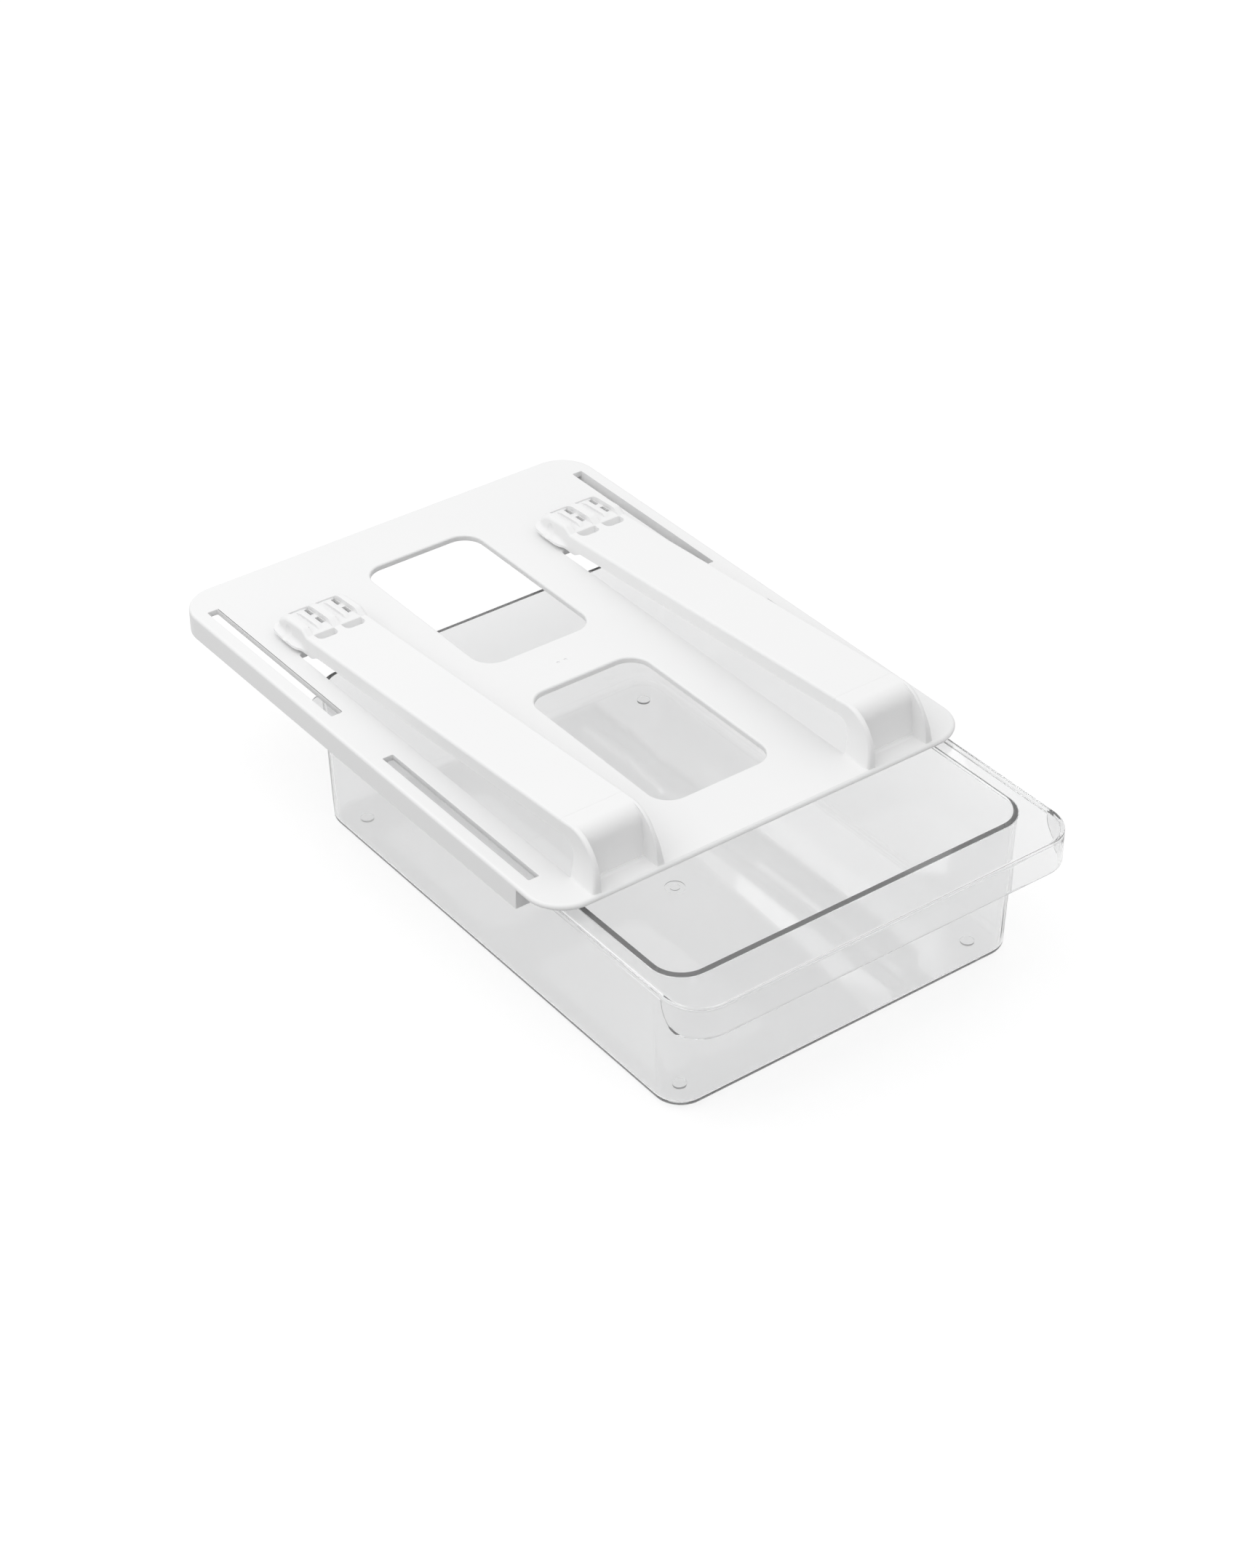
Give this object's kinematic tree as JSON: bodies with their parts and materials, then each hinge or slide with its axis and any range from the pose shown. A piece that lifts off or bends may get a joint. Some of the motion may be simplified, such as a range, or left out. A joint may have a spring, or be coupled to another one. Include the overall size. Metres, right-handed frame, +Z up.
{
  "type": "under-shelf drawer organizer",
  "caption": "White moulded hanger that clips over a refrigerator shelf with long spring arms and carries a clear sliding drawer on its side rails.",
  "frame": {"origin": "middle of the hanger plate's top face, which lies against the underside of the shelf", "axes": "+Z up out of the plate's top face, +Y to the back of the shelf, +X right as seen from the drawer's front"},
  "size_m": [0.234, 0.393, 0.1063],
  "materials": {
    "white_plastic": "satin moulded white",
    "clear_plastic": "clear, water-white, high gloss"
  },
  "bodies": {
    "hanger": {"hanger_frame": "white_plastic"},
    "left_arm": {"clip_arm_left": "white_plastic"},
    "right_arm": {"clip_arm_right": "white_plastic"},
    "tray": {"drawer": "clear_plastic"}
  },
  "joints": [
    {"name": "drawer_slide", "type": "slide", "parent": "hanger", "child": "tray", "axis": [0, -1, 0], "range_m": [-0.083, 0.15]},
    {"name": "left_arm_flex", "type": "hinge", "parent": "hanger", "child": "left_arm", "pos_m": [-0.0755, -0.1269, 0.0239], "axis": [1, 0, 0], "range_deg": [0, 3.6], "stiffness_Nm_per_rad": 9},
    {"name": "right_arm_flex", "type": "hinge", "parent": "hanger", "child": "right_arm", "pos_m": [0.0755, -0.1269, 0.0239], "axis": [1, 0, 0], "range_deg": [0, 3.6], "stiffness_Nm_per_rad": 9}
  ]
}
